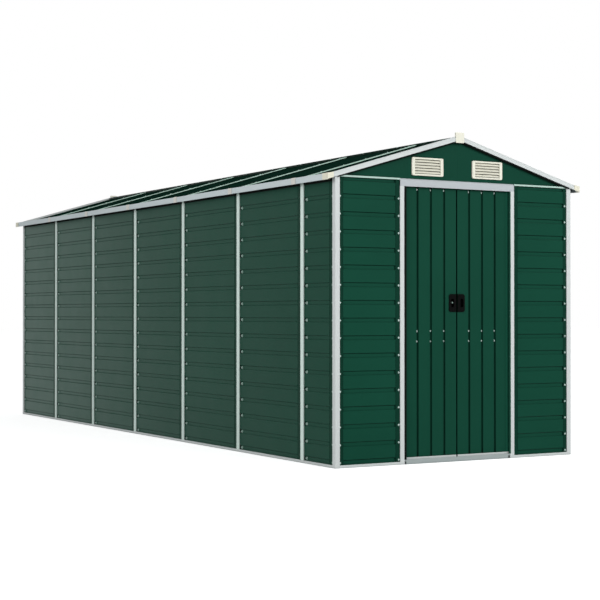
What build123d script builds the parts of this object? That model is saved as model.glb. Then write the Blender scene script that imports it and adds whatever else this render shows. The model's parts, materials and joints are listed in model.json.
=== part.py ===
from build123d import *
import math
import os

os.makedirs("parts", exist_ok=True)

# Metal storage shed with a low gable roof and two sliding door leaves.
# Millimetres. X across, Y along, Z up, origin on the ground at the centre of the plan.
# The doorway is in the front wall, which faces -Y.

# overall sizes
WIDTH = 1750.0
LENGTH = 5390.0
WALL_TOP = 1700.0
ROOF_PITCH = 16.4
EAVE_REACH = 58.0
RAKE_REACH = 15.0

# sheet metal
SHEET = 1.0
TRIM = 1.5
SEAT = 0.3
JOINT_GAP = 4.0

# ribbed wall sheets
SETBACK = 6.0
RIB_DEPTH = 6.0
RIB_PITCH = 103.15
RIB_FIRST = 44.1
RIB_GROOVE = 24.0
RIB_SLOPE = 4.0
EDGE_IN = 20.0
BAY = 834.0
END_BAY = 200.0

# trims
STRIP_W = 36.0
POST_FRONT = 31.0
POST_SIDE = 32.0
RAIL_H = 17.0
RAIL_D = 30.0
TOP_RAIL_H = 10.0

# doorway
DOORWAY = 786.0
JAMB_W = 31.0
HEADER_TALL = 47.0
HEADER_ROLL_D = 12.0
HEADER_ROLL_H = 18.0
SILL_TOP = 28.0
SILL_SET = 4.0
NOTCH_W = 13.0
NOTCH_H = 19.0
SILL_LIP = 10.0

# door leaves
CLEAR = 5.0
LEAF_LAP = 12.0
LEAF_DEPTH = 26.0
LEAF_BOTTOM = 10.0
LEAF_HEAD_LAP = 17.0
LEAF_HEAD_GAP = 3.0
LEAF_RIB_PITCH = 97.5
LEAF_RIB_FIRST = 93.0
LEAF_GROOVE = 13.0
LEAF_SPLIT = 9.0
LEAF_STEP_IN = 18.0
LEAF_RIB_DEPTH = 9.0
BOTTOM_RAIL_TOP = 39.0
TOP_RAIL_TALL = 28.0
MID_RAIL_LOW = 715.0
MID_RAIL_TALL = 93.0
HANDLE_W = 53.0
HANDLE_H = 108.0
HANDLE_OVER_RAIL = 97.5
HANDLE_OUT = 5.0
HANDLE_EDGE = 1.0
HANDLE_ROUND = 13.0
PULL_W = 24.0
PULL_H = 54.0
PULL_DEEP = 17.0
PULL_SHIFT = 3.0
CUP_WALL = 3.0

# door gear
TRACK_H = 32.0
TRACK_W = 36.0
SLOT_W = 16.0
HANGER_W = 60.0
HANGER_T = 3.0
HANGER_INSET = 70.0
ROLLER_R = 9.0
ROLLER_W = 10.0
GUIDE_H = 25.0
GUIDE_GAP = 6.0

# gables and vents
GABLE_SET = 12.0
GABLE_TIP = 15.0
VENT_W = 228.0
VENT_H = 109.0
VENT_OUT = 9.0
VENT_X = 222.0
VENT_SINK = 3.5
VENT_WALL = 3.0
VENT_RIM = 21.0
VENT_ROUND = 9.0
SLAT_PITCH = 17.0
SLAT_T = 2.4
SLAT_TILT = 50.0
SLAT_DEEP = 16.0
SLAT_BACK = 1.5

# roof
ROOF_RIB_H = 6.0
ROOF_RIB_W = 24.0
SEAM_RISE = 11.5
SEAM_W = 24.0
SEAM_FIT = 0.5
SEAM_LEG = 4.5
RAKE_RISE = 18.0
RAKE_DROP = 10.0
RAKE_W = 30.0
RAKE_LIP = 6.0
RAKE_BEVEL = 5.0
RAKE_BEVEL_H = 10.6
FASCIA_RISE = 22.0
FASCIA_W = 28.0
FASCIA_DROP = 13.5
FASCIA_LIP = 6.0
RIDGE_HALF = 54.0
RIDGE_CAP_W = 61.0
RIDGE_CAP_RISE = 36.0
REAR_CAP_RISE = 27.0
RIDGE_CAP_BACK = 9.0
RIDGE_CAP_DROP = 27.0
CAP_T = 3.0
CAP_LAP = 1.0
CAP_W = 48.0
CORNER_CAP_SIDE = 60.0
CORNER_CAP_FRONT = 38.0
BEAM_W = 40.0
BEAM_H = 40.0
PURLIN_W = 40.0
PURLIN_H = 30.0
PURLIN_AT = 480.0

# derived planes
HALF_W = WIDTH / 2
HALF_L = LENGTH / 2
PANEL_BACK = SETBACK + RIB_DEPTH + SHEET
HEADER_BOTTOM = WALL_TOP - HEADER_TALL
HANDLE_MID = MID_RAIL_LOW + MID_RAIL_TALL + HANDLE_OVER_RAIL + HANDLE_H / 2
LEAF_TOP = HEADER_BOTTOM + LEAF_HEAD_LAP
TOP_RAIL_TOP = HEADER_BOTTOM - LEAF_HEAD_GAP
LEAF_FACE = PANEL_BACK + CLEAR
LEAF_SHEET = LEAF_FACE + TRIM
LEAF_SHEET_BACK = LEAF_SHEET + LEAF_RIB_DEPTH + SHEET
LEAF_BACK = LEAF_SHEET_BACK + LEAF_DEPTH
SLOPE = math.tan(math.radians(ROOF_PITCH))
COS = math.cos(math.radians(ROOF_PITCH))
SIN = math.sin(math.radians(ROOF_PITCH))
APEX = WALL_TOP + HALF_W * SLOPE
EAVE_X = HALF_W + EAVE_REACH
RAKE_Y = HALF_L + RAKE_REACH
RAKE_BACK = RAKE_Y - RAKE_W
RIB_TOP = SHEET + ROOF_RIB_H
STRIP_TOP = SEAM_RISE + TRIM
ROOF_LOW = (EAVE_X - TRIM - RIB_TOP * SIN) / COS


def roof_z(x, rise=0.0):
    # height of the plane that lies rise above the roof's underside
    return APEX - abs(x) * SLOPE + rise / COS


def face_of(points):
    return make_face(Polyline(*points, close=True))


def offset_path(points, t):
    # the path moved sideways by t, to its left, with mitred corners
    normals = []
    for a, b in zip(points, points[1:]):
        run = math.hypot(b[0] - a[0], b[1] - a[1])
        normals.append((-(b[1] - a[1]) / run, (b[0] - a[0]) / run))
    moved = []
    for i, p in enumerate(points):
        n1 = normals[max(i - 1, 0)]
        n2 = normals[min(i, len(normals) - 1)]
        k = t / (1 + n1[0] * n2[0] + n1[1] * n2[1])
        moved.append((p[0] + k * (n1[0] + n2[0]), p[1] + k * (n1[1] + n2[1])))
    return moved


def folded(points, t):
    # section of a folded strip of metal, thickness t to the left of its outline
    return points + offset_path(points, t)[::-1]


def rib_lines(low, high):
    # heights of the lower edges of the bands, where a whole groove fits below each
    count = int((high - RIB_FIRST) // RIB_PITCH) + 1
    lines = [RIB_FIRST + k * RIB_PITCH for k in range(count)]
    reach = RIB_GROOVE + RIB_SLOPE
    return [z for z in lines if z - reach > low and z + RIB_SLOPE / 2 < high]


def wall_path(low, high):
    # outline of a ribbed wall sheet as (depth, height), upwards
    path = [(SETBACK, low)]
    for z in rib_lines(low, high):
        path.append((SETBACK, z - RIB_GROOVE - RIB_SLOPE / 2))
        path.append((SETBACK + RIB_DEPTH, z - RIB_GROOVE + RIB_SLOPE / 2))
        path.append((SETBACK + RIB_DEPTH, z - RIB_SLOPE / 2))
        path.append((SETBACK, z + RIB_SLOPE / 2))
    path.append((SETBACK, high))
    return path


def front_bar(section, x0, x1):
    # a (depth, height) section run along X on the front wall
    pts = [(0, d - HALF_L, z) for d, z in section]
    face = Face(Wire.make_polygon([Vector(x0, y, z) for _, y, z in pts], close=True))
    return extrude(face, amount=x1 - x0, dir=(1, 0, 0))


def side_bar(section, y0, y1):
    # a (depth, height) section run along Y on the right side wall
    pts = [Vector(HALF_W - d, y0, z) for d, z in section]
    face = Face(Wire.make_polygon(pts, close=True))
    return extrude(face, amount=y1 - y0, dir=(0, 1, 0))


def upright(points, z0, z1):
    # an (x, y) section run upwards
    face = Face(Wire.make_polygon([Vector(x, y, z0) for x, y in points], close=True))
    return extrude(face, amount=z1 - z0, dir=(0, 0, 1))


def block(x0, x1, y0, y1, z0, z1):
    return Pos((x0 + x1) / 2, (y0 + y1) / 2, (z0 + z1) / 2) * Box(x1 - x0, y1 - y0, z1 - z0)


def to_left(solids):
    return [mirror(s, about=Plane.YZ) for s in solids]


def to_rear(solids):
    return [mirror(s, about=Plane.XZ) for s in solids]


def slope_point(s, y, n):
    # a point on the right roof slope: s down the slope, n above the roof's underside
    return Vector(s * COS + n * SIN, y, APEX - s * SIN + n * COS)


def slope_run(points, s0, s1):
    # a (y, n) section run down the right slope
    face = Face(Wire.make_polygon([slope_point(s0, y, n) for y, n in points], close=True))
    return extrude(face, amount=s1 - s0, dir=(COS, 0, -SIN))


def write(name, solids):
    # one file for each named piece
    found = []
    for s in solids:
        found.extend(s.solids())
    shape = found[0] if len(found) == 1 else Compound(children=found)
    shape.label = name
    export_step(shape, "parts/" + name + ".step")


def channel(width, deep, t):
    # a plain channel as (across, deep), open towards +deep, centred
    outline = [(-width / 2, deep), (-width / 2, 0), (width / 2, 0), (width / 2, deep)]
    return folded(outline, t)


# strip lines along the sides, counted from the rear wall
strip_count = int((LENGTH - END_BAY) // BAY)
STRIPS = [HALF_L - BAY * (k + 1) for k in range(strip_count)]

# ground rails
side_rail = folded([(SETBACK, RAIL_H), (0, RAIL_H), (0, 0), (RAIL_D, 0), (RAIL_D, RAIL_H)], TRIM)
rail_run = HALF_L - POST_SIDE
base_right = side_bar(side_rail, -rail_run, rail_run)
rear_run = HALF_W - POST_FRONT
base_rear = to_rear([front_bar(side_rail, -rear_run, rear_run)])
front_rail = folded([(SETBACK, RAIL_H), (0, RAIL_H), (0, 0), (PANEL_BACK, 0)], TRIM)
JAMB_OUT = DOORWAY / 2 + JAMB_W
base_front = front_bar(front_rail, JAMB_OUT, rear_run)
base_half = [base_right, base_front]
write("base_rails", base_half + to_left(base_half) + base_rear)

# corner posts
post_path = [
    (HALF_W - POST_FRONT, SETBACK - HALF_L),
    (HALF_W - POST_FRONT, -HALF_L),
    (HALF_W, -HALF_L),
    (HALF_W, POST_SIDE - HALF_L),
    (HALF_W - SETBACK, POST_SIDE - HALF_L),
]
post = upright(folded(post_path, TRIM), 0, WALL_TOP)
posts = [post] + to_left([post])
write("corner_posts_front", posts)
write("corner_posts_rear", to_rear(posts))

# ribbed wall sheets, standing on the ground rails and reaching the top rails
SHEET_LOW = TRIM
SHEET_HIGH = WALL_TOP - TRIM
wall_sheet = folded(wall_path(SHEET_LOW, SHEET_HIGH), -SHEET)
edges = [HALF_L - EDGE_IN] + STRIPS + [EDGE_IN - HALF_L]
right_sheets = []
for k, (top, bottom) in enumerate(zip(edges, edges[1:])):
    hi = top if k == 0 else top - JOINT_GAP / 2
    lo = bottom if k == len(edges) - 2 else bottom + JOINT_GAP / 2
    right_sheets.append(side_bar(wall_sheet, lo, hi))
write("side_wall_panels_right", right_sheets)
write("side_wall_panels_left", to_left(right_sheets))
front_sheet = front_bar(wall_sheet, DOORWAY / 2 + TRIM, HALF_W - EDGE_IN)
front_sheet -= block(0, JAMB_OUT, -HALF_L, 0, WALL_TOP - HEADER_ROLL_H, WALL_TOP)
write("front_wall_panels", [front_sheet] + to_left([front_sheet]))
rear_sheet = front_bar(wall_sheet, JOINT_GAP / 2, HALF_W - EDGE_IN)
write("rear_wall_panels", to_rear([rear_sheet] + to_left([rear_sheet])))

# cover strips over the joints of the wall sheets
strip_section = channel(STRIP_W, SETBACK, TRIM)
STRIP_HIGH = WALL_TOP - TOP_RAIL_H
side_strips = []
for y in STRIPS:
    pts = [(HALF_W - d, y + a) for a, d in strip_section]
    side_strips.append(upright(pts, RAIL_H, STRIP_HIGH))
write("wall_strips_right", side_strips)
write("wall_strips_left", to_left(side_strips))
rear_strip = upright([(a, HALF_L - d) for a, d in strip_section], RAIL_H, STRIP_HIGH)
write("wall_strip_rear", [rear_strip])

# rails along the wall tops
top_section = folded([(0, STRIP_HIGH), (0, WALL_TOP), (RAIL_D, WALL_TOP), (RAIL_D, STRIP_HIGH)], -TRIM)
top_right = side_bar(top_section, -rail_run, rail_run)
top_rear = to_rear([front_bar(top_section, -rear_run, rear_run)])
top_front = front_bar(top_section, JAMB_OUT, rear_run)
top_half = [top_right, top_front]
write("top_rails", top_half + to_left(top_half) + top_rear)

# doorway frame
jamb_path = [
    (DOORWAY / 2, PANEL_BACK - HALF_L),
    (DOORWAY / 2, -HALF_L),
    (JAMB_OUT, -HALF_L),
    (JAMB_OUT, SETBACK - HALF_L),
]
jamb = upright(folded(jamb_path, TRIM), 0, HEADER_BOTTOM)
write("door_jambs", [jamb] + to_left([jamb]))
header_path = [(SETBACK, HEADER_BOTTOM), (0, HEADER_BOTTOM)]
for degrees in (0, 25, 45, 65, 90):
    turn = math.radians(degrees)
    roll_d = HEADER_ROLL_D * (1 - math.cos(turn))
    roll_z = WALL_TOP - HEADER_ROLL_H * (1 - math.sin(turn))
    header_path.append((roll_d, roll_z))
header_path = header_path + [(RAIL_D, WALL_TOP), (RAIL_D, STRIP_HIGH)]
write("door_header", [front_bar(folded(header_path, -TRIM), -JAMB_OUT, JAMB_OUT)])
sill_path = [(PANEL_BACK, SILL_TOP - SILL_LIP), (PANEL_BACK, SILL_TOP), (SILL_SET, SILL_TOP)]
sill_path = sill_path + [(SILL_SET, 0), (PANEL_BACK, 0)]
sill = front_bar(folded(sill_path, TRIM), -DOORWAY / 2, DOORWAY / 2)
notch_y = PANEL_BACK - HALF_L + 1
notch_x = DOORWAY / 2
for side in (-1, 1):
    low_x = min(side * notch_x, side * (notch_x - NOTCH_W))
    sill -= block(low_x, low_x + NOTCH_W, -HALF_L, notch_y, 0, NOTCH_H)
write("door_sill", [sill])

# door gear fixed to the frame: track above, guide below
GEAR_X = HALF_W - RAIL_D
HANGER_D = LEAF_BACK - HANGER_T / 2
track_front = HANGER_D - TRACK_W / 2
track_rear = HANGER_D + TRACK_W / 2
track_top = STRIP_HIGH
track_low = track_top - TRACK_H
slot_front = HANGER_D - SLOT_W / 2
slot_rear = HANGER_D + SLOT_W / 2
track_section = [
    (slot_front, track_low),
    (track_front, track_low),
    (track_front, track_top - TRIM),
    (RAIL_D - TRIM, track_top - TRIM),
    (RAIL_D - TRIM, track_top),
    (track_rear, track_top),
    (track_rear, track_low),
    (slot_rear, track_low),
    (slot_rear, track_low + TRIM),
    (track_rear - TRIM, track_low + TRIM),
    (track_rear - TRIM, track_top - TRIM),
    (track_front + TRIM, track_top - TRIM),
    (track_front + TRIM, track_low + TRIM),
    (slot_front, track_low + TRIM),
]
write("door_track", [front_bar(track_section, -GEAR_X, GEAR_X)])
guide_rear = LEAF_BACK + GUIDE_GAP + TRIM
guide_path = [(PANEL_BACK, 0), (guide_rear, 0), (guide_rear, GUIDE_H)]
write("door_guide", [front_bar(folded(guide_path, TRIM), -GEAR_X, GEAR_X)])

# door leaves, built for the right-hand one and mirrored
LEAF_IN = LEAF_SPLIT / 2
LEAF_OUT = DOORWAY / 2 + LEAF_LAP
leaf_path = [(LEAF_IN, LEAF_SHEET_BACK + LEAF_DEPTH - TRIM), (LEAF_IN, LEAF_SHEET)]
groove_x = LEAF_RIB_FIRST
while groove_x + LEAF_GROOVE < DOORWAY / 2 - LEAF_STEP_IN:
    leaf_path.append((groove_x - LEAF_GROOVE / 2 - RIB_SLOPE / 2, LEAF_SHEET))
    leaf_path.append((groove_x - LEAF_GROOVE / 2 + RIB_SLOPE / 2, LEAF_SHEET + LEAF_RIB_DEPTH))
    leaf_path.append((groove_x + LEAF_GROOVE / 2 - RIB_SLOPE / 2, LEAF_SHEET + LEAF_RIB_DEPTH))
    leaf_path.append((groove_x + LEAF_GROOVE / 2 + RIB_SLOPE / 2, LEAF_SHEET))
    groove_x += LEAF_RIB_PITCH
step_x = DOORWAY / 2 - LEAF_STEP_IN
leaf_path = leaf_path + [(step_x, LEAF_SHEET), (step_x, LEAF_SHEET + LEAF_RIB_DEPTH)]
leaf_path = leaf_path + [(LEAF_OUT, LEAF_SHEET + LEAF_RIB_DEPTH), (LEAF_OUT, LEAF_BACK - TRIM)]
leaf_xy = [(x, d - HALF_L) for x, d in folded(leaf_path, SHEET)]
leaf_sheet = upright(leaf_xy, LEAF_BOTTOM + TRIM, LEAF_TOP)
leaf_sheet -= block(0, DOORWAY, LEAF_SHEET_BACK - HALF_L, LEAF_BACK - HALF_L, TOP_RAIL_TOP, LEAF_TOP)

bottom_path = [(LEAF_BACK, BOTTOM_RAIL_TOP), (LEAF_BACK, LEAF_BOTTOM), (LEAF_FACE, LEAF_BOTTOM)]
bottom_path = bottom_path + [(LEAF_FACE, BOTTOM_RAIL_TOP)]
bottom_rail = front_bar(folded(bottom_path, -TRIM), LEAF_IN, LEAF_OUT)
write("right_door_bottom_rail", [bottom_rail])
write("left_door_bottom_rail", to_left([bottom_rail]))


def leaf_tube(low, tall):
    # a rectangular tube behind the leaf's sheet, between its folded edges
    d0 = LEAF_SHEET_BACK
    d1 = LEAF_BACK
    x0 = LEAF_IN + SHEET
    x1 = LEAF_OUT - SHEET
    tube = block(x0, x1, d0 - HALF_L, d1 - HALF_L, low, low + tall)
    core = block(x0, x1, d0 + TRIM - HALF_L, d1 - TRIM - HALF_L, low + TRIM, low + tall - TRIM)
    return tube - core


top_tube = leaf_tube(TOP_RAIL_TOP - TOP_RAIL_TALL, TOP_RAIL_TALL)
write("right_door_top_rail", [top_tube])
write("left_door_top_rail", to_left([top_tube]))
mid_tube = leaf_tube(MID_RAIL_LOW, MID_RAIL_TALL)
write("right_door_mid_rail", [mid_tube])
write("left_door_mid_rail", to_left([mid_tube]))

# hangers with their rollers, which run on the lips of the track
roller_z = track_low + TRIM + SEAT + ROLLER_R
hangers = []
for x in (LEAF_IN + HANGER_INSET, LEAF_OUT - HANGER_INSET):
    y = HANGER_D - HALF_L
    plate = block(x - HANGER_W / 2, x + HANGER_W / 2, y - HANGER_T / 2, y + HANGER_T / 2,
                  TOP_RAIL_TOP, roller_z)
    wheel = Pos(x, y, roller_z) * Rot(90, 0, 0) * Cylinder(ROLLER_R, HANGER_T + 2 * ROLLER_W)
    hangers.append(plate + wheel)
write("right_door_hangers", hangers)
write("left_door_hangers", to_left(hangers))

# pull handles on the meeting edges of the leaves
# each is a flat plate with a cup sunk through the leaf's sheet
handle_x = LEAF_IN + HANDLE_EDGE + HANDLE_W / 2
grip = Pos(handle_x, LEAF_SHEET - HALF_L - HANDLE_OUT / 2, HANDLE_MID) * Box(HANDLE_W, HANDLE_OUT, HANDLE_H)
outer = grip.edges().filter_by(Axis.Y).group_by(Axis.X)[-1]
grip = fillet(outer, HANDLE_ROUND)
front_rim = grip.faces().sort_by(Axis.Y)[0].edges()
grip = fillet(front_rim, HANDLE_OUT / 2)
cup_x = handle_x + PULL_SHIFT
cup_w = PULL_W + 2 * CUP_WALL
cup_h = PULL_H + 2 * CUP_WALL
cup_front = LEAF_SHEET - HALF_L
cup_rear = cup_front - HANDLE_OUT + PULL_DEEP + CUP_WALL
cup_mid = Pos(cup_x, (cup_front + cup_rear) / 2, HANDLE_MID)
grip += cup_mid * Box(cup_w, cup_rear - cup_front + SEAT, cup_h)
pull_path = SlotOverall(PULL_H, PULL_W, rotation=90)
pull_y = LEAF_SHEET - HANDLE_OUT - HALF_L
pull_at = (cup_x, pull_y, HANDLE_MID)
pull_plane = Plane(origin=pull_at, x_dir=(1, 0, 0), z_dir=(0, -1, 0))
grip -= extrude(pull_plane * pull_path, amount=-PULL_DEEP)
leaf_sheet -= cup_mid * Box(cup_w + 2 * SEAT, cup_rear - cup_front, cup_h + 2 * SEAT)
write("right_door_sheet", [leaf_sheet])
write("left_door_sheet", to_left([leaf_sheet]))
write("right_door_handle", [grip])
write("left_door_handle", to_left([grip]))

# gable sheets in two halves, with an opening behind each vent
# a vent sits a little under midway between the wall top and the roof line over its outer edge
VENT_Z = (WALL_TOP + roof_z(VENT_X + VENT_W / 2)) / 2 - VENT_SINK
tip_x = HALF_W - GABLE_TIP
half_gap = SEAT / 2
gable_y = GABLE_SET - HALF_L
gable_pts = [
    Vector(half_gap, gable_y, WALL_TOP),
    Vector(tip_x, gable_y, WALL_TOP),
    Vector(tip_x, gable_y, roof_z(tip_x)),
    Vector(half_gap, gable_y, roof_z(half_gap)),
]
gable = extrude(Face(Wire.make_polygon(gable_pts, close=True)), amount=TRIM, dir=(0, 1, 0))
open_w = VENT_W - 2 * VENT_RIM + 2 * VENT_WALL
open_h = VENT_H - 2 * VENT_WALL
gable -= Pos(VENT_X, gable_y, VENT_Z) * Box(open_w, 6 * TRIM, open_h)
gables = [gable] + to_left([gable])
write("gable_sheets_front", gables)
write("gable_sheets_rear", to_rear(gables))

# louvred vents
vent_y = gable_y - VENT_OUT / 2
vent = Pos(VENT_X, vent_y, VENT_Z) * Box(VENT_W, VENT_OUT, VENT_H)
vent = fillet(vent.edges().filter_by(Axis.Y), VENT_ROUND)
vent = fillet(vent.faces().sort_by(Axis.Y)[0].edges(), 2.0)
slat_span = VENT_W - 2 * VENT_RIM
slat_field = VENT_H - VENT_RIM
vent -= Pos(VENT_X, vent_y, VENT_Z) * Box(slat_span, VENT_OUT + 2, slat_field)
slat_count = int(slat_field // SLAT_PITCH)
slat_low = VENT_Z - SLAT_PITCH * (slat_count - 1) / 2
for k in range(slat_count):
    z = slat_low + k * SLAT_PITCH
    slat = Pos(VENT_X, vent_y + SLAT_BACK, z) * Rot(SLAT_TILT, 0, 0) * Box(slat_span + 2, SLAT_DEEP, SLAT_T)
    vent += slat
vents = [vent] + to_left([vent])
write("vents_front", vents)
write("vents_rear", to_rear(vents))

# ridge beam and purlins between the gable sheets
INNER_Y = HALF_L - GABLE_SET - TRIM
beam_top = roof_z(BEAM_W / 2)
beam = block(-BEAM_W / 2, BEAM_W / 2, -INNER_Y, INNER_Y, beam_top - BEAM_H, beam_top)
bore_x = BEAM_W / 2 - TRIM
bore = block(-bore_x, bore_x, -INNER_Y, INNER_Y, beam_top - BEAM_H + TRIM, beam_top - TRIM)
write("ridge_beam", [beam - bore])
purlin_out = [(-INNER_Y, -PURLIN_H), (-INNER_Y, 0), (INNER_Y, 0), (INNER_Y, -PURLIN_H)]
purlin = slope_run(purlin_out, PURLIN_AT, PURLIN_AT + PURLIN_W)
purlin_in = [(-INNER_Y, TRIM - PURLIN_H), (-INNER_Y, -TRIM), (INNER_Y, -TRIM), (INNER_Y, TRIM - PURLIN_H)]
purlin -= slope_run(purlin_in, PURLIN_AT + TRIM, PURLIN_AT + PURLIN_W - TRIM)
write("roof_purlins", [purlin] + to_left([purlin]))

# roof sheets, a flat pan with raised ribs that run down the slope
# where two sheets meet, their edges stand up as a seam between the ridge cap and the fascia
roof_end = RAKE_Y - TRIM
roof_edges = [roof_end] + STRIPS + [-roof_end]
rib_limit = HALF_L - EDGE_IN - ROOF_RIB_W
rib_half = ROOF_RIB_W / 2
right_roof = []
for k, (high, low) in enumerate(zip(roof_edges, roof_edges[1:])):
    first = k == 0
    last = k == len(roof_edges) - 2
    y0 = low if last else low + SEAM_W / 2
    y1 = high if first else high - SEAM_W / 2
    path = [(y0, 0)] if last else [(y0, SEAM_RISE), (y0, 0)]
    start = high - RIB_PITCH * int((high - low) / RIB_PITCH) if last else low
    y = start + RIB_PITCH
    while y < high - ROOF_RIB_W * 2:
        if abs(y) < rib_limit and y > low + ROOF_RIB_W * 2:
            path.append((y - rib_half - RIB_SLOPE / 2, 0))
            path.append((y - rib_half + RIB_SLOPE / 2, ROOF_RIB_H))
            path.append((y + rib_half - RIB_SLOPE / 2, ROOF_RIB_H))
            path.append((y + rib_half + RIB_SLOPE / 2, 0))
        y += RIB_PITCH
    path.append((y1, 0))
    if not first:
        path.append((y1, SEAM_RISE))
    pan = slope_run(folded(path, SHEET), JOINT_GAP / 2, ROOF_LOW)
    over = [(y0, RIB_TOP), (y1, RIB_TOP), (y1, 2 * SEAM_RISE), (y0, 2 * SEAM_RISE)]
    pan -= slope_run(over, 0, RIDGE_HALF / COS)
    pan -= slope_run(over, (EAVE_X - FASCIA_W) / COS - SEAM_RISE, ROOF_LOW + 1)
    right_roof.append(pan)
write("roof_sheets_right", right_roof)
write("roof_sheets_left", to_left(right_roof))

# ridge cap
crest = roof_z(0, STRIP_TOP + TRIM)
ridge_lip = RIDGE_HALF
ridge_right = [
    (0, roof_z(0, STRIP_TOP)),
    (ridge_lip - TRIM, roof_z(ridge_lip - TRIM, STRIP_TOP)),
    (ridge_lip - TRIM, roof_z(ridge_lip - TRIM, RIB_TOP)),
    (ridge_lip, roof_z(ridge_lip, RIB_TOP)),
    (ridge_lip, roof_z(ridge_lip, STRIP_TOP + TRIM)),
    (0, crest),
]
ridge_left = [(-x, z) for x, z in ridge_right[::-1]][1:-1]
ridge_pts = [Vector(x, -RAKE_BACK, z) for x, z in ridge_right + ridge_left]
ridge = extrude(Face(Wire.make_polygon(ridge_pts, close=True)), amount=2 * RAKE_BACK, dir=(0, 1, 0))
write("ridge_cap", [ridge])

# eave fascias
fx = EAVE_X
fascia_top = roof_z(fx, FASCIA_RISE)
fascia_low = roof_z(fx) - FASCIA_DROP
lip_x = fx - FASCIA_W
fascia_pts = [
    (fx, fascia_low),
    (fx, fascia_top),
    (lip_x, fascia_top),
    (lip_x, roof_z(lip_x, RIB_TOP)),
    (lip_x + TRIM, roof_z(lip_x + TRIM, RIB_TOP)),
    (lip_x + TRIM, fascia_top - TRIM),
    (fx - TRIM, fascia_top - TRIM),
    (fx - TRIM, fascia_low + TRIM),
    (fx - FASCIA_LIP, fascia_low + TRIM),
    (fx - FASCIA_LIP, fascia_low),
]
fascia_face = Face(Wire.make_polygon([Vector(x, -RAKE_BACK, z) for x, z in fascia_pts], close=True))
fascia = extrude(fascia_face, amount=2 * RAKE_BACK, dir=(0, 1, 0))
write("eave_fascias", [fascia] + to_left([fascia]))

# cover strips over the joints of the roof sheets, from the ridge cap to the fascias
seam_cap_w = SEAM_W + 2 * (SHEET + SEAM_FIT + TRIM)
strips_right = []
for y in STRIPS:
    pts = [(y + a, STRIP_TOP - d) for a, d in channel(seam_cap_w, SEAM_LEG, TRIM)]
    long_strip = slope_run(pts, 0, ROOF_LOW)
    keep = block(ridge_lip, lip_x, y - STRIP_W, y + STRIP_W, 0, 2 * APEX)
    strips_right.append(long_strip & keep)
write("roof_strips", strips_right + to_left(strips_right))

# rake trims
rake_low = -RAKE_DROP
rake_pts = [
    (-RAKE_BACK, SHEET),
    (-RAKE_BACK, RAKE_RISE),
    (RAKE_BEVEL - RAKE_Y, RAKE_RISE),
    (-RAKE_Y, RAKE_RISE - RAKE_BEVEL_H),
    (-RAKE_Y, rake_low),
    (RAKE_LIP - RAKE_Y, rake_low),
]
rake = slope_run(folded(rake_pts, TRIM), -40, ROOF_LOW + 40)
rake = rake & block(half_gap, EAVE_X, -RAKE_Y, 0, 0, 2 * APEX)
rake -= block(0, HALF_W, -HALF_L, 0, 0, WALL_TOP)
rakes = [rake] + to_left([rake])
write("rake_trims_front", rakes)
write("rake_trims_rear", to_rear(rakes))

# moulded caps: at the ends of the roof strips, at the corners and at the ridge ends
cap_top = fascia_top + CAP_LAP
cap_low = fascia_low - CAP_LAP
caps = []
for y in STRIPS:
    plate = block(fx, fx + CAP_T, y - CAP_W / 2, y + CAP_W / 2, cap_low, cap_top)
    tongue = block(lip_x, fx, y - CAP_W / 2, y + CAP_W / 2, fascia_top, cap_top)
    caps.append(plate + tongue)
write("eave_caps", caps + to_left(caps))
cap_front = -RAKE_Y - CAP_T
wrap = block(fx, fx + CAP_T, cap_front, CORNER_CAP_SIDE - RAKE_Y, cap_low, cap_top)
cap_in = fx - CORNER_CAP_FRONT
cap_out = fx + CAP_T
wrap_pts = [
    Vector(cap_in, cap_front, roof_z(cap_in, -RAKE_DROP - CAP_LAP)),
    Vector(cap_out, cap_front, roof_z(cap_out, -RAKE_DROP - CAP_LAP)),
    Vector(cap_out, cap_front, cap_top),
    Vector(fx, cap_front, cap_top),
    Vector(cap_in, cap_front, roof_z(cap_in, RAKE_RISE + CAP_LAP)),
]
wrap += extrude(Face(Wire.make_polygon(wrap_pts, close=True)), amount=CAP_T, dir=(0, 1, 0))
corners = [wrap] + to_left([wrap])
write("corner_caps", corners + to_rear(corners))
nose_x = RIDGE_CAP_W / 2
under = [
    Vector(-RIDGE_CAP_W, -RAKE_Y, 0),
    Vector(RIDGE_CAP_W, -RAKE_Y, 0),
    Vector(RIDGE_CAP_W, -RAKE_Y, roof_z(RIDGE_CAP_W, RAKE_RISE)),
    Vector(0, -RAKE_Y, roof_z(0, RAKE_RISE)),
    Vector(-RIDGE_CAP_W, -RAKE_Y, roof_z(RIDGE_CAP_W, RAKE_RISE)),
]
over_rake = extrude(Face(Wire.make_polygon(under, close=True)), amount=2 * RAKE_W, dir=(0, 1, 0))
noses = []
for rise in (RIDGE_CAP_RISE, REAR_CAP_RISE):
    nose = block(-nose_x, nose_x, cap_front, RIDGE_CAP_BACK - RAKE_Y, APEX - RIDGE_CAP_DROP, APEX + rise)
    nose = fillet(nose.edges().filter_by(Axis.Y), 5.0)
    noses.append(nose - over_rake)
write("ridge_end_caps", noses[:1] + to_rear(noses[1:]))
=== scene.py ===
import bpy
import json
import math
from mathutils import Vector, Matrix


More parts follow.
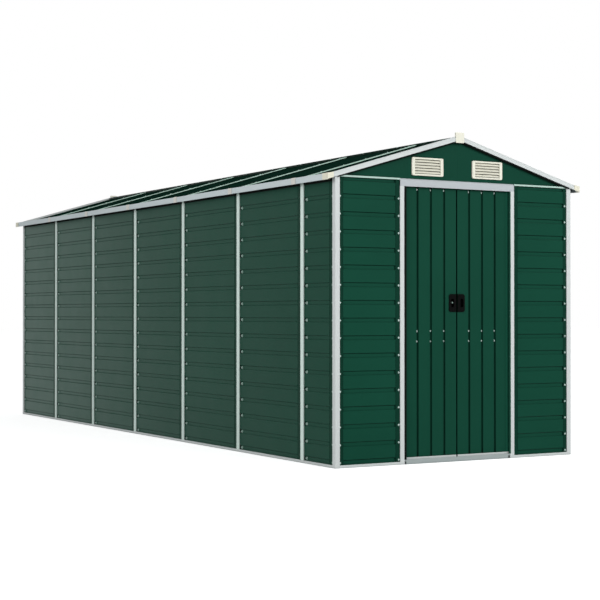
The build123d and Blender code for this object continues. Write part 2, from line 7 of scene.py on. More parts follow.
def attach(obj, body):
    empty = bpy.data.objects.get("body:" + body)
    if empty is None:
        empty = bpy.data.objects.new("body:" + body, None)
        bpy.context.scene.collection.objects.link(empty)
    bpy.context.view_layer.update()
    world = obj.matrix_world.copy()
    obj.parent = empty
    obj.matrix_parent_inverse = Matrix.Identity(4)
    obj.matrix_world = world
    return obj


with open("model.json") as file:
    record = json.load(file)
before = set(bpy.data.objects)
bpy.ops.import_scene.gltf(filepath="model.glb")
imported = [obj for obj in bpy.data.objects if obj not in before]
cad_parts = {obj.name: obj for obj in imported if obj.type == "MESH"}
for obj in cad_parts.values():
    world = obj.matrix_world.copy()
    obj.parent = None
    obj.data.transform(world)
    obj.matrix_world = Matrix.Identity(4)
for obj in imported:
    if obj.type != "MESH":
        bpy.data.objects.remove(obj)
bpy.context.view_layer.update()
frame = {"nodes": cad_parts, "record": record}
nodes = frame["nodes"]

# camera, fitted to the photo: place in metres, angles in degrees, lens and sensor in millimetres
CAMERA_PLACE = (-5.297, -10.001, 0.894)
CAMERA_PITCH = 90.536
CAMERA_YAW = -29.82
CAMERA_LENS = 88.7
CAMERA_SENSOR = 36.0
CAMERA_REACH = 200.0

camera_data = bpy.data.cameras.new("camera")
camera_data.lens = CAMERA_LENS
camera_data.sensor_width = CAMERA_SENSOR
camera_data.clip_end = CAMERA_REACH
camera = bpy.data.objects.new("camera", camera_data)
camera.location = CAMERA_PLACE
camera.rotation_euler = (math.radians(CAMERA_PITCH), 0.0, math.radians(CAMERA_YAW))
bpy.context.scene.collection.objects.link(camera)
bpy.context.scene.camera = camera

# planes and lines of the solids that the pieces made here are placed by, in metres
HALF_W = 0.875
HALF_L = 2.695
WALL_TOP = 1.700
ROOF_SLOPE = math.radians(16.4)
ROOF_COS = math.cos(ROOF_SLOPE)
ROOF_SIN = math.sin(ROOF_SLOPE)
APEX_Z = WALL_TOP + HALF_W * math.tan(ROOF_SLOPE)
BAY = 0.834
STRIP_COUNT = 6
STRIPS = [HALF_L - BAY * (k + 1) for k in range(STRIP_COUNT)]
STRIP_HALF = 0.018
POST_FRONT = 0.031
POST_SIDE = 0.032
JAMB_IN = 0.393
JAMB_OUT = 0.424
VENT_AT = (0.222, 1.7758)

# depths behind the outer planes of the walls, and the gap kept from a trim
SHEET_FACE = 0.006
GROOVE_FLOOR = 0.012
LEAF_SHEET = 0.0195
LEAF_VALLEY = 0.0285
TRIM_GAP = 0.0005
CORNER_END = HALF_L - POST_SIDE - TRIM_GAP


def under_roof(x, drop):
    return APEX_Z - abs(x) * math.tan(ROOF_SLOPE) - drop / ROOF_COS


# helpers for node trees
def new_material(name):
    material = bpy.data.materials.new(name)
    material.use_nodes = True
    tree = material.node_tree
    tree.nodes.clear()
    out = tree.nodes.new("ShaderNodeOutputMaterial")
    shader = tree.nodes.new("ShaderNodeBsdfPrincipled")
    tree.links.new(shader.outputs["BSDF"], out.inputs["Surface"])
    return material, tree, shader


def noise(tree, scale, detail, rough=0.5):
    place = tree.nodes.new("ShaderNodeTexCoord")
    texture = tree.nodes.new("ShaderNodeTexNoise")
    texture.inputs["Scale"].default_value = scale
    texture.inputs["Detail"].default_value = detail
    texture.inputs["Roughness"].default_value = rough
    tree.links.new(place.outputs["Object"], texture.inputs["Vector"])
    return texture.outputs["Fac"]


def ramp(tree, value, stops):
    node = tree.nodes.new("ShaderNodeValToRGB")
    elements = node.color_ramp.elements
    elements[0].position, elements[0].color = stops[0]
    elements[1].position, elements[1].color = stops[-1]
    for position, color in stops[1:-1]:
        elements.new(position).color = color
    tree.links.new(value, node.inputs["Fac"])
    return node.outputs["Color"]


def grey(level):
    return (level, level, level, 1.0)


def shade(color, factor):
    return tuple(part * factor for part in color[:3]) + (1.0,)


def span(tree, value, low, high, start=0.0, end=1.0):
    # low where the value is at start, high where it is at end
    node = tree.nodes.new("ShaderNodeMapRange")
    node.inputs["From Min"].default_value = start
    node.inputs["From Max"].default_value = end
    node.inputs["To Min"].default_value = low
    node.inputs["To Max"].default_value = high
    tree.links.new(value, node.inputs["Value"])
    return node.outputs["Result"]


def multiply(tree, a, b):
    node = tree.nodes.new("ShaderNodeMix")
    node.data_type = "RGBA"
    node.blend_type = "MULTIPLY"
    node.inputs["Factor"].default_value = 1.0
    tree.links.new(a, node.inputs["A"])
    tree.links.new(b, node.inputs["B"])
    return node.outputs["Result"]


def calculate(tree, operation, *values):
    # each value is an output of another node or a plain number
    node = tree.nodes.new("ShaderNodeMath")
    node.operation = operation
    for socket, value in zip(node.inputs, values):
        if isinstance(value, float):
            socket.default_value = value
        else:
            tree.links.new(value, socket)
    return node.outputs[0]


def axes(tree, vector):
    node = tree.nodes.new("ShaderNodeSeparateXYZ")
    tree.links.new(vector, node.inputs["Vector"])
    return node.outputs


def any_ray(tree, *kinds):
    # 1 for a ray of one of these kinds, 0 for all others
    path = tree.nodes.new("ShaderNodeLightPath")
    found = path.outputs[kinds[0]]
    for kind in kinds[1:]:
        found = calculate(tree, "MAXIMUM", found, path.outputs[kind])
    return found


RECESS_SHADE_SAMPLES = 8
RECESS_SHADE_DARKEST_AT = 0.2


def painted_recess_shade(tree, distance, darkest, knee=0.75):
    # painted shade: darker in narrow recesses, where the parts shade each other
    node = tree.nodes.new("ShaderNodeAmbientOcclusion")
    node.samples = RECESS_SHADE_SAMPLES
    node.inputs["Distance"].default_value = distance
    return ramp(tree, node.outputs["AO"], [(RECESS_SHADE_DARKEST_AT, grey(darkest)), (knee, grey(1.0))])


def bump(tree, shader, heights):
    normal = None
    for value, strength, distance in heights:
        node = tree.nodes.new("ShaderNodeBump")
        node.inputs["Strength"].default_value = strength
        node.inputs["Distance"].default_value = distance
        tree.links.new(value, node.inputs["Height"])
        if normal is not None:
            tree.links.new(normal, node.inputs["Normal"])
        normal = node.outputs["Normal"]
    tree.links.new(normal, shader.inputs["Normal"])


DENT_STRENGTH = 0.5
GRAIN_STRENGTH = 0.12
GRAIN_HEIGHT = 0.0003
NO_TINT = (1.0, 1.0, 1.0, 1.0)


def painted(name, color, gloss, rough=(0.34, 0.46), vary=0.06, waves=0.0012, recess_shade=(0.03, 0.35),
            upward_shade=None, tint=NO_TINT):
    # gloss: one specular level, or stops of it over the angle at which the surface is seen
    # rough: range of the roughness; vary: share by which the tone wanders; waves: size of shallow dents
    # recess_shade: reach and darkest tone of the painted shade in recesses, and the knee where that ends
    # upward_shade: painted shade by the normal: upward shares of it between which the tone rises to full,
    # and the tone below them
    material, tree, shader = new_material(name)
    clouds = noise(tree, scale=1.6, detail=4.0, rough=0.55)
    tone = ramp(tree, clouds, [(0.3, shade(color, 1 - vary)), (0.7, shade(color, 1 + vary))])
    # painted shade in recesses
    tone = multiply(tree, tone, painted_recess_shade(tree, *recess_shade))
    # painted light and shade: the tone falls on faces that turn down or away from the light
    if upward_shade is not None:
        start, end, dim = upward_shade
        surface = tree.nodes.new("ShaderNodeNewGeometry")
        upward = axes(tree, surface.outputs["Normal"])["Z"]
        tone = multiply(tree, tone, span(tree, upward, dim, 1.0, start, end))
    tree.links.new(tone, shader.inputs["Base Color"])
    smears = noise(tree, scale=7.0, detail=5.0)
    tree.links.new(span(tree, smears, *rough), shader.inputs["Roughness"])
    if isinstance(gloss, float):
        shader.inputs["Specular IOR Level"].default_value = gloss
    else:
        layer = tree.nodes.new("ShaderNodeLayerWeight")
        layer.inputs["Blend"].default_value = 0.5
        stops = [(position, grey(level)) for position, level in gloss]
        tree.links.new(ramp(tree, layer.outputs["Facing"], stops), shader.inputs["Specular IOR Level"])
    shader.inputs["Specular Tint"].default_value = tint
    grain = noise(tree, scale=900.0, detail=2.0)
    dents = noise(tree, scale=2.2, detail=2.0, rough=0.4)
    bump(tree, shader, [(dents, DENT_STRENGTH, waves * 4), (grain, GRAIN_STRENGTH, GRAIN_HEIGHT)])
    return material


# paints that several materials share
def trim_paint(name, color, gloss, recess_shade=(0.04, 0.55)):
    return painted(name, color, gloss, rough=(0.42, 0.55), vary=0.02, waves=0.0005, recess_shade=recess_shade)


def moulding(name, color, darkest):
    return painted(name, color, 0.25, rough=(0.45, 0.55), vary=0.02, waves=0.0003, recess_shade=(0.012, darkest))


def screw_metal(name, color, gloss, rough):
    return painted(name, color, gloss, rough=rough, vary=0.08, waves=0.0002, recess_shade=(0.003, 0.75))


GREEN = (0.0065, 0.0550, 0.0335)
# painted light: a lighter green for the right jamb's bead
LIT_BEAD_GREEN = (0.020, 0.085, 0.058)
WHITE = (0.575, 0.607, 0.600)
# painted shade: a darker copy of the trim white for the header under the gable
SHADED_HEADER_WHITE = (0.440, 0.470, 0.490)
STRIP_WHITE = (0.665, 0.785, 0.730)
ROOF_STRIP_WHITE = (0.490, 0.710, 0.600)
RAIL_WHITE = (0.420, 0.570, 0.510)
SILL = (0.415, 0.470, 0.465)
ZINC = (0.420, 0.440, 0.450)
# painted shade: a dimmer copy of the screw zinc for the screws on the side walls
SHADED_SIDE_ZINC = (0.280, 0.400, 0.350)
SCREW_ZINC = (0.460, 0.580, 0.540)
CREAM = (0.740, 0.730, 0.620)
FASCIA_CREAM = (0.553, 0.618, 0.631)
PALE_CREAM = (0.660, 0.650, 0.600)
CORNER_CREAM = (0.720, 0.700, 0.570)
BLACK = (0.0030, 0.0034, 0.0033)
# black of the strips that stand in for shade
SHADE_STRIP_BLACK = (0.0040, 0.0060, 0.0050)
SCREEN_BROWN = (0.300, 0.240, 0.180)

# how glossy the coated sheets are, over the angle at which they are seen
GREEN_GLOSS = [
    (0.0, 0.02),
    (0.45, 0.03),
    (0.516, 0.062),
    (0.555, 0.060),
    (0.585, 0.095),
    (0.610, 0.130),
    (0.640, 0.200),
    (0.70, 0.230),
    (0.82, 0.10),
    (0.92, 0.0),
]
GREEN_TINT = (0.72, 1.0, 0.88, 1.0)
SIDE_GLOSS = [
    (0.0, 0.02),
    (0.45, 0.043),
    (0.497, 0.060),
    (0.516, 0.066),
    (0.55, 0.068),
    (0.585, 0.084),
    (0.61, 0.112),
    (0.645, 0.176),
    (0.672, 0.226),
    (0.74, 0.11),
    (0.82, 0.035),
    (0.92, 0.0),
]
SIDE_TINT = (0.48, 1.0, 0.83, 1.0)

# painted light and shade: copies of one green paint, each lighter or darker for the light that falls on
# its part; the gable, roof and sheet edges darker, the leaf margins lighter
side_green = painted("green_coated_sheet", shade(GREEN, 0.88), SIDE_GLOSS, recess_shade=(0.05, 0.16),
                     upward_shade=(-0.75, -0.25, 0.7), tint=SIDE_TINT)
front_green = painted("green_front_sheet", GREEN, GREEN_GLOSS, recess_shade=(0.05, 0.08, 0.82),
                      upward_shade=(-0.75, -0.25, 0.3), tint=GREEN_TINT)
shaded_gable_green = painted("shaded_green_gable_sheet", shade(GREEN, 0.86), GREEN_GLOSS, recess_shade=(0.05, 0.10),
                      tint=GREEN_TINT)
leaf_green = painted("green_leaf_sheet", shade(GREEN, 0.97), GREEN_GLOSS, recess_shade=(0.05, 0.02, 0.92),
                     tint=GREEN_TINT)
shaded_edge_green = painted("shaded_green_sheet_edge", shade(GREEN, 0.62), GREEN_GLOSS, recess_shade=(0.02, 0.2),
                     tint=GREEN_TINT)
shaded_roof_green = painted("shaded_green_roof_sheet", shade(GREEN, 0.65), GREEN_GLOSS, recess_shade=(0.08, 0.04),
                     upward_shade=(0.60, 0.93, 0.40), tint=GREEN_TINT)
lit_bead_green = painted("lit_green_jamb_bead", LIT_BEAD_GREEN, 0.10, recess_shade=(0.005, 0.8), tint=GREEN_TINT)
lit_margin_green = painted("lit_green_leaf_margin", shade(GREEN, 1.2), 0.02, recess_shade=(0.01, 0.7), tint=GREEN_TINT)
white = trim_paint("white_coated_trim", WHITE, 0.25)
strip_white = trim_paint("white_cover_strip", STRIP_WHITE, 0.2)
roof_strip_white = trim_paint("white_roof_strip", ROOF_STRIP_WHITE, 0.2)
rail_white = trim_paint("white_wall_rail", RAIL_WHITE, 0.15)
shaded_header_white = trim_paint("shaded_white_header_trim", SHADED_HEADER_WHITE, 0.15, recess_shade=(0.05, 0.5))
# painted light: the sill's top lighter than its face
sill_grey = painted("grey_coated_sill", SILL, 0.25, rough=(0.42, 0.55), vary=0.04, recess_shade=(0.03, 0.5),
                    upward_shade=(0.30, 0.80, 0.79))
cream = moulding("cream_moulding", CREAM, darkest=0.45)
fascia_cream = moulding("cream_fascia", FASCIA_CREAM, darkest=0.45)
pale_cream = moulding("pale_cream_moulding", PALE_CREAM, darkest=0.6)
corner_cream = moulding("corner_cream_moulding", CORNER_CREAM, darkest=0.6)
zinc = painted("zinc_coated_steel", ZINC, 0.5, rough=(0.35, 0.6), vary=0.1)
shaded_side_zinc = screw_metal("shaded_side_screw_zinc", SHADED_SIDE_ZINC, 0.3, rough=(0.35, 0.5))
screw_zinc = screw_metal("screw_zinc", SCREW_ZINC, 0.4, rough=(0.3, 0.45))
black = painted("black_moulding", BLACK, 0.02, rough=(0.35, 0.5), vary=0.1, waves=0.0002,
                recess_shade=(0.01, 0.4))
shade_strip_black = painted("shade_strips", SHADE_STRIP_BLACK, 0.05, rough=(0.7, 0.9), vary=0.2, waves=0.0002)
screen_wire = painted("vent_screen_wire", SCREEN_BROWN, 0.2, rough=(0.5, 0.6), vary=0.1, waves=0.0002,
                      recess_shade=(0.004, 0.8))

# paint of the solids: the one of their slot, or their own
SLOT_PAINT = {
    "green_sheet": side_green,
    "white_trim": white,
    "sill_grey": sill_grey,
    "galvanised": zinc,
    "cream_plastic": cream,
    "handle_plastic": black,
}
OWN_PAINT = {
    "front_wall_panels": front_green,
    "rear_wall_panels": front_green,
    "gable_sheets_front": shaded_gable_green,
    "gable_sheets_rear": shaded_gable_green,
    "left_door_sheet": leaf_green,
    "right_door_sheet": leaf_green,
    "roof_sheets_left": shaded_roof_green,
    "roof_sheets_right": shaded_roof_green,
    "ridge_cap": shaded_roof_green,
    "wall_strips_left": strip_white,
    "wall_strips_right": strip_white,
    "wall_strip_rear": strip_white,
    "roof_strips": roof_strip_white,
    "top_rails": rail_white,
    "door_header": shaded_header_white,
    "eave_fascias": fascia_cream,
    "eave_caps": pale_cream,
    "corner_caps": corner_cream,
}
BEVELLED = ("white_trim", "sill_grey", "cream_plastic", "handle_plastic")
BEVEL_WIDTH = 0.0005
BEVEL_SEGMENTS = 2
BEVEL_FROM = math.radians(40)

slots = {row["node"]: row["material_slot"] for row in frame["record"]["subparts"]}
for name, obj in nodes.items():
    obj.data.materials.clear()
    obj.data.materials.append(OWN_PAINT.get(name, SLOT_PAINT[slots[name]]))
    if slots[name] in BEVELLED:
        edge = obj.modifiers.new("edge", "BEVEL")
        edge.width = BEVEL_WIDTH
        edge.segments = BEVEL_SEGMENTS
        edge.limit_method = "ANGLE"
        edge.angle_limit = BEVEL_FROM


# helpers for the pieces made here
def add_piece(name, body, verts, faces, material):
    mesh = bpy.data.meshes.new(name)
    mesh.from_pydata(verts, [], faces)
    mesh.validate()
    mesh.materials.append(material)
    obj = bpy.data.objects.new(name, mesh)
    bpy.context.scene.collection.objects.link(obj)
    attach(obj, body)


def prism(name, body, sections, material):
    # each section: outline points in order round it, first end and far end
    verts = []
    faces = []
    for near, far in sections:
        start = len(verts)
        count = len(near)
        verts += near + far
        faces.append(tuple(range(start, start + count)))
        faces.append(tuple(reversed(range(start + count, start + 2 * count))))
        for i in range(count):
            j = (i + 1) % count
            faces.append((start + i, start + count + i, start + count + j, start + j))
    add_piece(name, body, verts, faces, material)


def upright(outline, low, high):
    # outline seen from above
    return [(x, y, low) for x, y in outline], [(x, y, high) for x, y in outline]


def along_length(outline, near, far):
    # outline seen from the front
    return [(x, near, z) for x, z in outline], [(x, far, z) for x, z in outline]


# black strip along the wall tops, painted shade under the eaves, which the margins of the side walls end
# below
EAVE_SHADE_LOW = 1.6650
EAVE_SHADE_HIGH = 1.6895
EAVE_SHADE_IN = 0.8625
EAVE_SHADE_OUT = 0.8746

# flat margins at the ends of the ribbed sheets, each with a rolled edge, in a darker copy of the green
# that paints shade
EDGE_LOW = 0.0180
EDGE_HIGH = 1.6890
EDGE_OVER = 0.0004
EDGE_ROLL = 0.0016
ROLL_STEPS = 6
EDGE_FRONT = HALF_L - SHEET_FACE + EDGE_OVER
EDGE_SIDE = HALF_W - SHEET_FACE + EDGE_OVER
SIDE_GAP = 0.0004
SIDE_MARGIN = 0.042
POST_EDGE = HALF_W - POST_FRONT - TRIM_GAP
POST_MARGIN = 0.0250
JAMB_EDGE = JAMB_OUT + TRIM_GAP
JAMB_MARGIN = 0.0305


def edge_profile(inner, outer, face):
    # seen from above: (along the wall, out of the wall), rolled at the outer end
    toward = 1 if outer > inner else -1
    floor_out = face - SHEET_FACE
    points = [(inner, floor_out), (inner, face)]
    middle = outer - toward * EDGE_ROLL
    for k in range(ROLL_STEPS + 1):
        turn = math.pi * (1.0 - k / ROLL_STEPS)
        points.append((middle + toward * EDGE_ROLL * math.cos(turn), face + EDGE_ROLL * math.sin(turn)))
    points.append((outer, floor_out))
    return points


def side_edges(sign):
    # one margin at the front end of each bay
    sections = []
    for trim_edge in [y + STRIP_HALF for y in STRIPS] + [-CORNER_END]:
        flat = edge_profile(trim_edge + SIDE_GAP, trim_edge + SIDE_MARGIN, EDGE_SIDE)
        outline = [(sign * out, along) for along, out in flat]
        sections.append(upright(outline, EDGE_LOW, EAVE_SHADE_LOW - TRIM_GAP))
    return sections


def front_edges():
    # beside the corner posts and beside the door jambs
    sections = []
    for start, end in ((POST_EDGE, POST_EDGE - POST_MARGIN), (JAMB_EDGE, JAMB_EDGE + JAMB_MARGIN)):
        for sign in (-1, 1):
            outline = [(sign * along, -out) for along, out in edge_profile(start, end, EDGE_FRONT)]
            sections.append(upright(outline, EDGE_LOW, EDGE_HIGH))
    return sections


prism("sheet_edges_left", "shed", side_edges(-1), shaded_edge_green)
prism("sheet_edges_right", "shed", side_edges(1), shaded_edge_green)
prism("sheet_edges_front", "shed", front_edges(), shaded_edge_green)

# black strips that paint the shade in the gap between each gable and its rake trims, and the one along the
# wall tops
RAKE_SHADE_FROM = 0.036
RAKE_SHADE_TO = 0.858
RAKE_SHADE_OUT = 2.7032
RAKE_SHADE_IN = 2.6835
RAKE_SHADE_TOP = 0.003
RAKE_SHADE_BOTTOM = 0.0180


def rake_shade_strips():
    corners = [
        (RAKE_SHADE_OUT, RAKE_SHADE_BOTTOM),
        (RAKE_SHADE_IN, RAKE_SHADE_BOTTOM),
        (RAKE_SHADE_IN, RAKE_SHADE_TOP),
        (RAKE_SHADE_OUT, RAKE_SHADE_TOP),
    ]
    sections = []
    for sign in (-1, 1):
        for end in (-1, 1):
            rings = []
            for x in (RAKE_SHADE_FROM, RAKE_SHADE_TO):
                rings.append([(sign * x, end * y, under_roof(x, drop)) for y, drop in corners])
            sections.append(tuple(rings))
    return sections


def eave_shade_strips():
    # one piece between each two cover strips
    corners = [
        (EAVE_SHADE_IN, EAVE_SHADE_LOW),
        (EAVE_SHADE_OUT, EAVE_SHADE_LOW),
        (EAVE_SHADE_OUT, EAVE_SHADE_HIGH),
        (EAVE_SHADE_IN, EAVE_SHADE_HIGH),
    ]
    ends = [-CORNER_END]
    for y in reversed(STRIPS):
        ends += [y - STRIP_HALF - TRIM_GAP, y + STRIP_HALF + TRIM_GAP]
    ends.append(CORNER_END)
    sections = []
    for sign in (-1, 1):
        outline = [(sign * x, z) for x, z in corners]
        for near, far in zip(ends[::2], ends[1::2]):
            sections.append(along_length(outline, near, far))
    return sections


prism("shade_strips", "shed", rake_shade_strips() + eave_shade_strips(), shade_strip_black)

# insect screens behind the vents: upright wires, and level ones behind them
SCREEN_Y = 2.6745
SCREEN_W = 0.190
SCREEN_H = 0.100
SCREEN_STEP = 0.004
WIRE = 0.0010


def wires(middle_x, middle_z):
    # left, right, low, high and the depth behind the first layer
    left = middle_x - SCREEN_W / 2
    low = middle_z - SCREEN_H / 2
    rows = []
    for k in range(int(SCREEN_W / SCREEN_STEP) + 1):
        x = left + k * SCREEN_STEP
        rows.append((x - WIRE / 2, x + WIRE / 2, low, middle_z + SCREEN_H / 2, 0.0))
    for k in range(int(SCREEN_H / SCREEN_STEP) + 1):
        z = low + k * SCREEN_STEP
        rows.append((left, middle_x + SCREEN_W / 2, z - WIRE / 2, z + WIRE / 2, WIRE))
    return rows


def vent_screens():
    sections = []
    for end in (-1, 1):
        for sign in (-1, 1):
            for left, right, low, high, back in wires(sign * VENT_AT[0], VENT_AT[1]):
                outline = [(left, low), (right, low), (right, high), (left, high)]
                front = SCREEN_Y - back
                sections.append(along_length(outline, end * front, end * (front - WIRE)))
    return sections


prism("vent_screens", "shed", vent_screens(), screen_wire)

# latch tongue in the cup of the left handle
TONGUE = [(-0.0372, 0.9585), (-0.0298, 0.9585), (-0.0325, 0.9670), (-0.0345, 0.9670)]
TONGUE_FRONT = 2.6790
TONGUE_REAR = 2.6640
tongue = along_length(TONGUE, -TONGUE_FRONT, -TONGUE_REAR)
prism("latch_tongue", "left_door", [tongue], shaded_side_zinc)

# black strip on the left jamb's inner edge, painted shade in the gap beside the leaf, and a bead on the
# right one's in a lighter green that paints light
# outlines from the jamb's corner: (over its face, out of its face)
JAMB_SHADE_STRIP = [
    (0.0025, 0.0001),
    (0.0025, 0.0007),
    (0.0015, 0.0012),
    (-0.0115, 0.0012),
    (-0.0130, 0.0007),
    (-0.0130, -0.0050),
    (-0.0005, -0.0050),
    (-0.0005, 0.0001),
]
BEAD = [
    (0.0035, 0.0001),
    (0.0035, 0.0012),
    (0.0028, 0.0018),
    (0.0002, 0.0018),
    (-0.0008, 0.0012),
    (-0.0008, -0.0128),
    (-0.0002, -0.0128),
    (-0.0002, 0.0001),
]
JAMB_TRIM_LOW = 0.0285
JAMB_TRIM_HIGH = 1.6525


def jamb_trim(sign, profile):
    outline = [(sign * (JAMB_IN + over), -(HALF_L + out)) for over, out in profile]
    return [upright(outline, JAMB_TRIM_LOW, JAMB_TRIM_HIGH)]


prism("jamb_shade_strip", "shed", jamb_trim(-1, JAMB_SHADE_STRIP), shade_strip_black)
prism("jamb_bead", "shed", jamb_trim(1, BEAD), lit_bead_green)

# flat margins at the outer edges of the leaves, in a lighter copy of the green that paints light
LEAVES = ((1, "right_door"), (-1, "left_door"))
LEAF_MARGIN_FROM = 0.3752
LEAF_MARGIN_TO = 0.4040
LEAF_MARGIN_FRONT = HALF_L - LEAF_SHEET
LEAF_MARGIN_REAR = LEAF_MARGIN_FRONT - 0.0085
LEAF_MARGIN_LOW = 0.0395
LEAF_MARGIN_HIGH = 1.6495


def leaf_margin(side):
    corners = [
        (LEAF_MARGIN_FROM, LEAF_MARGIN_FRONT),
        (LEAF_MARGIN_TO, LEAF_MARGIN_FRONT),
        (LEAF_MARGIN_TO, LEAF_MARGIN_REAR),
        (LEAF_MARGIN_FROM, LEAF_MARGIN_REAR),
    ]
    outline = [(side * x, -y) for x, y in corners]
    return [upright(outline, LEAF_MARGIN_LOW, LEAF_MARGIN_HIGH)]


for side, body in LEAVES:
    prism("leaf_margin_" + body, body, leaf_margin(side), lit_margin_green)

# screws: a washer and a six-sided head, as rings of (sides, share of the radius, share of the height)
WASHER = ((16, 1.0, 0.0), (16, 1.0, 0.16), (16, 0.92, 0.28))
HEAD = ((6, 0.66, 0.25), (6, 0.66, 0.85), (6, 0.54, 1.0))
SCREW_TURN = 0.7

# radius of the washer and height of the head
SIDE_SCREW = (0.0100, 0.0075)
WALL_SCREW = (0.0062, 0.0048)
POST_SCREW = (0.0066, 0.0076)
LEAF_SCREW = (0.0058, 0.0052)
ROOF_SCREW = (0.0058, 0.0042)


def screw_template(radius, height):
    verts = []
    faces = []
    for solid in (WASHER, HEAD):
        rings = []
        for sides, wide, tall in solid:
            start = len(verts)
            for i in range(sides):
                turn = 2 * math.pi * i / sides
                across = radius * wide
                verts.append((across * math.cos(turn), across * math.sin(turn), height * tall))
            rings.append(range(start, start + sides))
        for low, high in zip(rings, rings[1:]):
            for i in range(len(low)):
                j = (i + 1) % len(low)
                faces.append((low[i], low[j], high[j], high[i]))
        faces.append(tuple(rings[-1]))
    return verts, faces


def screws(name, body, spots, outward, size, material=screw_zinc):
    # many screws in one mesh, each turned a little further than the one before
    base, base_faces = screw_template(*size)
    upright_to_wall = Vector(outward).to_track_quat("Z", "Y").to_matrix()
    verts = []
    faces = []
    for k, spot in enumerate(spots):
        spin = Matrix.Rotation(SCREW_TURN * k, 3, "Z")
        start = len(verts)
        verts += [tuple(Vector(spot) + upright_to_wall @ (spin @ Vector(v))) for v in base]
        faces += [tuple(i + start for i in face) for face in base_faces]
    add_piece(name, body, verts, faces, material)


# walls: screws one above another, along lines beside the strips, the posts and the jamb
SCREW_FIRST = 0.0305
ROW_PITCH = 0.10315
ROWS = 17
SIDE_FROM_STRIP = 0.024
SIDE_FROM_POST = 0.009
REAR_FROM_STRIP = 0.008
FRONT_LINES = (-0.4325, 0.832)
LEFT_POST_LINE = -0.8405
REAR_LINES = (-0.832, STRIP_HALF + REAR_FROM_STRIP, 0.832)
SIDE_CORNER_LINE = HALF_L - POST_SIDE - SIDE_FROM_POST
SIDE_LINES = [y - STRIP_HALF - SIDE_FROM_STRIP for y in STRIPS] + [SIDE_CORNER_LINE, -SIDE_CORNER_LINE]
SIDES = ((1, "right"), (-1, "left"))

heights = [SCREW_FIRST + ROW_PITCH * k for k in range(ROWS)]
for sign, side in SIDES:
    spots = [(sign * (HALF_W - GROOVE_FLOOR), y, z) for y in SIDE_LINES for z in heights]
    screws("screws_side_" + side, "shed", spots, (sign, 0, 0), SIDE_SCREW, shaded_side_zinc)


def end_spots(lines, y):
    # without the top row, which the side walls alone have
    return [(x, y, z) for x in lines for z in heights[:-1]]


screws("screws_front", "shed", end_spots(FRONT_LINES, -EDGE_FRONT), (0, -1, 0), WALL_SCREW)
screws("screws_left_post", "shed", end_spots([LEFT_POST_LINE], -EDGE_FRONT), (0, -1, 0), POST_SCREW)
screws("screws_rear", "shed", end_spots(REAR_LINES, EDGE_FRONT), (0, 1, 0), WALL_SCREW)

# leaves: in the grooves, in three rows
LEAF_GROOVES = (0.093, 0.1905, 0.288)
LEAF_ROWS = (0.7285, 0.7895, 1.6385)
for side, body in LEAVES:
    spots = [(side * x, LEAF_VALLEY - HALF_L, z) for x in LEAF_GROOVES for z in LEAF_ROWS]
    screws("screws_" + body, body, spots, (0, -1, 0), LEAF_SCREW)

# roof: along the cover strips, and along both flanks of the ridge cap at every half bay
STRIP_TOP = 0.0130
STRIP_SPOTS = (0.10, 0.26, 0.42, 0.58, 0.74, 0.885)
CAP_TOP = 0.0145
CAP_SPOT = 0.038
CAP_STEPS = 6
cap_lines = [BAY / 2 * k for k in range(-CAP_STEPS, CAP_STEPS + 1)]
for sign, side in SIDES:
    spots = [(sign * x, y, under_roof(x, -STRIP_TOP)) for y in STRIPS for x in STRIP_SPOTS]
    spots += [(sign * CAP_SPOT, y, under_roof(CAP_SPOT, -CAP_TOP)) for y in cap_lines]
    screws("screws_roof_" + side, "shed", spots, (sign * ROOF_SIN, 0, ROOF_COS), ROOF_SCREW)

# floor
FLOOR = 60.0
FLOOR_DROP = 0.0005
FLOOR_COLOR = (0.8, 0.8, 0.8, 1)
FLOOR_LIFT = 0.75


def outside_walls(tree):
    # 1 on the ground outside the shed's walls, 0 inside them
    place = axes(tree, tree.nodes.new("ShaderNodeTexCoord").outputs["Object"])
    shares = []
    for axis, half in (("X", HALF_W), ("Y", HALF_L)):
        shares.append(calculate(tree, "ABSOLUTE", calculate(tree, "DIVIDE", place[axis], half)))
    return calculate(tree, "GREATER_THAN", calculate(tree, "MAXIMUM", *shares), 1.0)


def floor_paint():
    # lifted for the camera and for gloss; the ground inside the shed stays as dim as it is
    material, tree, shader = new_material("floor_pale")
    shader.inputs["Base Color"].default_value = FLOOR_COLOR
    shader.inputs["Roughness"].default_value = 0.9
    shader.inputs["Specular IOR Level"].default_value = 0.1
    shader.inputs["Emission Color"].default_value = (1, 1, 1, 1)
    seen = any_ray(tree, "Is Camera Ray", "Is Glossy Ray")
    lifted = calculate(tree, "MULTIPLY", seen, outside_walls(tree))
    tree.links.new(span(tree, lifted, 0.0, FLOOR_LIFT), shader.inputs["Emission Strength"])
    return material


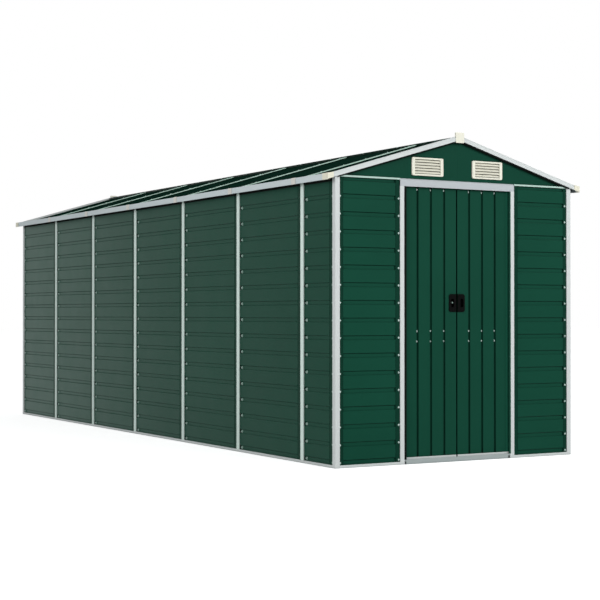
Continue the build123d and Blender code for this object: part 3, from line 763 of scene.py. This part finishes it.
floor_mesh = bpy.data.meshes.new("floor")
floor_corners = [(-FLOOR, -FLOOR, 0), (FLOOR, -FLOOR, 0), (FLOOR, FLOOR, 0), (-FLOOR, FLOOR, 0)]
floor_mesh.from_pydata(floor_corners, [], [(0, 1, 2, 3)])
floor_mesh.materials.append(floor_paint())
floor = bpy.data.objects.new("floor", floor_mesh)
floor.location = (0, 0, -FLOOR_DROP)
bpy.context.scene.collection.objects.link(floor)


# lamps
def area(name, place, aim, size, power):
    data = bpy.data.lights.new(name, "AREA")
    data.shape = "RECTANGLE"
    data.size, data.size_y = size
    data.energy = power
    lamp = bpy.data.objects.new(name, data)
    lamp.location = place
    lamp.rotation_euler = (Vector(aim) - Vector(place)).to_track_quat("-Z", "Y").to_euler()
    bpy.context.scene.collection.objects.link(lamp)


area("key", place=(2.6, -10.3, 4.6), aim=(0, -1.0, 0.9), size=(5.0, 4.0), power=490.0)
area("fill", place=(-9.5, -5.0, 3.0), aim=(0, 0, 0.9), size=(7.0, 4.0), power=375.0)

# world: soft light, weaker from above, and white for what the camera, gloss and glass see
SOFT_COLOR = (0.95, 0.98, 1.0, 1)
SOFT_LEVEL = 0.55
SOFT_ABOVE = 0.18

world = bpy.data.worlds.new("studio")
bpy.context.scene.world = world
world.use_nodes = True
sky = world.node_tree
sky.nodes.clear()
sky_out = sky.nodes.new("ShaderNodeOutputWorld")
soft = sky.nodes.new("ShaderNodeBackground")
soft.inputs["Color"].default_value = SOFT_COLOR
sky_place = sky.nodes.new("ShaderNodeTexCoord")
sky_height = axes(sky, sky_place.outputs["Generated"])["Z"]
sky.links.new(span(sky, sky_height, SOFT_LEVEL, SOFT_ABOVE), soft.inputs["Strength"])
plain = sky.nodes.new("ShaderNodeBackground")
plain.inputs["Color"].default_value = (1, 1, 1, 1)
plain.inputs["Strength"].default_value = 1.0
mix = sky.nodes.new("ShaderNodeMixShader")
seen_white = any_ray(sky, "Is Camera Ray", "Is Glossy Ray", "Is Transmission Ray")
sky.links.new(seen_white, mix.inputs[0])
sky.links.new(soft.outputs[0], mix.inputs[1])
sky.links.new(plain.outputs[0], mix.inputs[2])
sky.links.new(mix.outputs[0], sky_out.inputs["Surface"])

bpy.context.scene.view_settings.view_transform = "Standard"
